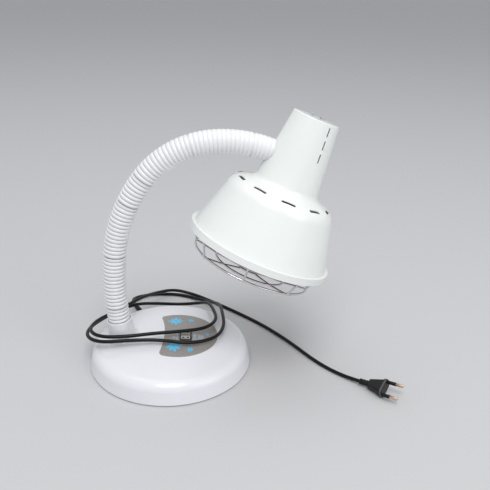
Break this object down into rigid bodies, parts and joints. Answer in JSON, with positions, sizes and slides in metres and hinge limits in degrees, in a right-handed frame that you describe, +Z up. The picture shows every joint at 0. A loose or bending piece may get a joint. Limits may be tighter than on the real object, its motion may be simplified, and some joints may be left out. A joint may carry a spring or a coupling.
{
  "type": "infrared heat therapy lamp",
  "caption": "Free-standing heat lamp: weighted dome base with rocker switch, corrugated gooseneck arm, vented shade with wire guard over a ruby reflector bulb, cord and plug.",
  "frame": {"origin": "middle of the round base on the surface that the lamp stands on", "axes": "+Z up; +X from the arm's collar across the base towards the side that the shade hangs over; +Y to the side that the cord leaves by"},
  "size_m": [0.3794, 0.2791, 0.3177],
  "materials": {
    "white_enamel": "gloss enamel, faint mint white",
    "white_shell": "glossy moulded",
    "white_sleeve": "glossy moulded corrugation",
    "grey_panel": "printed film",
    "black_plastic": "moulded",
    "switch_white": "moulded",
    "black_rubber": "moulded",
    "zinc": "zinc plated",
    "bright_wire": "bright plated wire",
    "iron": "as cast, painted",
    "brass": "turned",
    "porcelain": "glazed ceramic",
    "ruby_glass": "ruby glass, smooth",
    "clear_glass": "clear",
    "aluminium": "satin",
    "tungsten": "coiled wire"
  },
  "bodies": {
    "base": {"base_shell": "white_shell", "label_plate": "grey_panel", "bottom_plate": "black_plastic", "ballast_weight": "iron", "foot_ring": "black_rubber", "bottom_screws": "zinc", "switch_housing": "switch_white", "switch_terminals": "brass", "cord_grommet": "black_rubber", "inner_lead": "black_rubber", "cord_clamp": "black_plastic", "clamp_screws": "zinc", "terminal_block": "porcelain", "lower_ferrule": "zinc", "lower_locknut": "zinc", "cord": "black_rubber", "plug_body": "black_rubber", "plug_pins": "brass", "sleeve_01": "white_sleeve", "core_01": "zinc"},
    "rocker": {"rocker": "switch_white"},
    "head": {"sleeve_11": "white_sleeve", "core_11": "zinc", "upper_ferrule": "zinc", "neck_saddle": "white_sleeve", "upper_locknut": "zinc", "shade": "white_enamel", "holder_bracket": "zinc", "holder_screws": "zinc", "holder_nuts": "zinc", "lampholder_body": "porcelain", "nipple_nut": "zinc", "screw_shell": "brass", "centre_contact": "brass", "bulb_reflector": "ruby_glass", "bulb_lens": "ruby_glass", "bulb_cap": "aluminium", "bulb_stem": "clear_glass", "filament": "tungsten", "guard_spokes": "bright_wire", "guard_rings": "bright_wire", "guard_clips": "white_enamel"},
    "link_02": {"sleeve_02": "white_sleeve", "core_02": "zinc"},
    "link_03": {"sleeve_03": "white_sleeve", "core_03": "zinc"},
    "link_04": {"sleeve_04": "white_sleeve", "core_04": "zinc"},
    "link_05": {"sleeve_05": "white_sleeve", "core_05": "zinc"},
    "link_06": {"sleeve_06": "white_sleeve", "core_06": "zinc"},
    "link_07": {"sleeve_07": "white_sleeve", "core_07": "zinc"},
    "link_08": {"sleeve_08": "white_sleeve", "core_08": "zinc"},
    "link_09": {"sleeve_09": "white_sleeve", "core_09": "zinc"},
    "link_10": {"sleeve_10": "white_sleeve", "core_10": "zinc"}
  },
  "joints": [
    {"name": "lower_bend_1", "type": "hinge", "parent": "base", "child": "link_02", "pos_m": [-0.06422, 0, 0.07721], "axis": [0, 1, 0], "range_deg": [-8, 4]},
    {"name": "side_bend_1", "type": "hinge", "parent": "link_02", "child": "link_03", "pos_m": [-0.06532, 0, 0.11099], "axis": [0.9999, 0, -0.0131], "range_deg": [-8, 8]},
    {"name": "lower_bend_2", "type": "hinge", "parent": "link_03", "child": "link_04", "pos_m": [-0.06334, 0, 0.14473], "axis": [0, 1, 0], "range_deg": [-8, 4]},
    {"name": "side_bend_2", "type": "hinge", "parent": "link_04", "child": "link_05", "pos_m": [-0.0568, 0, 0.17786], "axis": [0.9596, 0, -0.2812], "range_deg": [-8, 8]},
    {"name": "lower_bend_3", "type": "hinge", "parent": "link_05", "child": "link_06", "pos_m": [-0.04442, 0, 0.20927], "axis": [0, 1, 0], "range_deg": [-8, 4]},
    {"name": "upper_bend_1", "type": "hinge", "parent": "link_06", "child": "link_07", "pos_m": [-0.02661, 0, 0.23796], "axis": [0, 1, 0], "range_deg": [-8, 5]},
    {"name": "side_bend_3", "type": "hinge", "parent": "link_07", "child": "link_08", "pos_m": [-0.00245, 0, 0.26142], "axis": [0.5781, 0, -0.816], "range_deg": [-8, 8]},
    {"name": "upper_bend_2", "type": "hinge", "parent": "link_08", "child": "link_09", "pos_m": [0.02769, 0, 0.27643], "axis": [0, 1, 0], "range_deg": [-8, 5]},
    {"name": "side_bend_4", "type": "hinge", "parent": "link_09", "child": "link_10", "pos_m": [0.06097, 0, 0.28168], "axis": [0.02, 0, -0.9998], "range_deg": [-8, 8]},
    {"name": "upper_bend_3", "type": "hinge", "parent": "link_10", "child": "head", "pos_m": [0.09454, 0, 0.27838], "axis": [0, 1, 0], "range_deg": [-8, 5]},
    {"name": "rocker_tilt", "type": "hinge", "parent": "base", "child": "rocker", "pos_m": [0.01866, -0.00818, 0.03517], "axis": [0.9989, 0.001, -0.0479], "range_deg": [-12, 0]}
  ],
  "couplings": [
    {"joint": "lower_bend_2", "follows": "lower_bend_1", "ratio": 1},
    {"joint": "side_bend_2", "follows": "side_bend_1", "ratio": 1},
    {"joint": "lower_bend_3", "follows": "lower_bend_1", "ratio": 1},
    {"joint": "side_bend_3", "follows": "side_bend_1", "ratio": 1},
    {"joint": "upper_bend_2", "follows": "upper_bend_1", "ratio": 1},
    {"joint": "side_bend_4", "follows": "side_bend_1", "ratio": 1},
    {"joint": "upper_bend_3", "follows": "upper_bend_1", "ratio": 1}
  ]
}
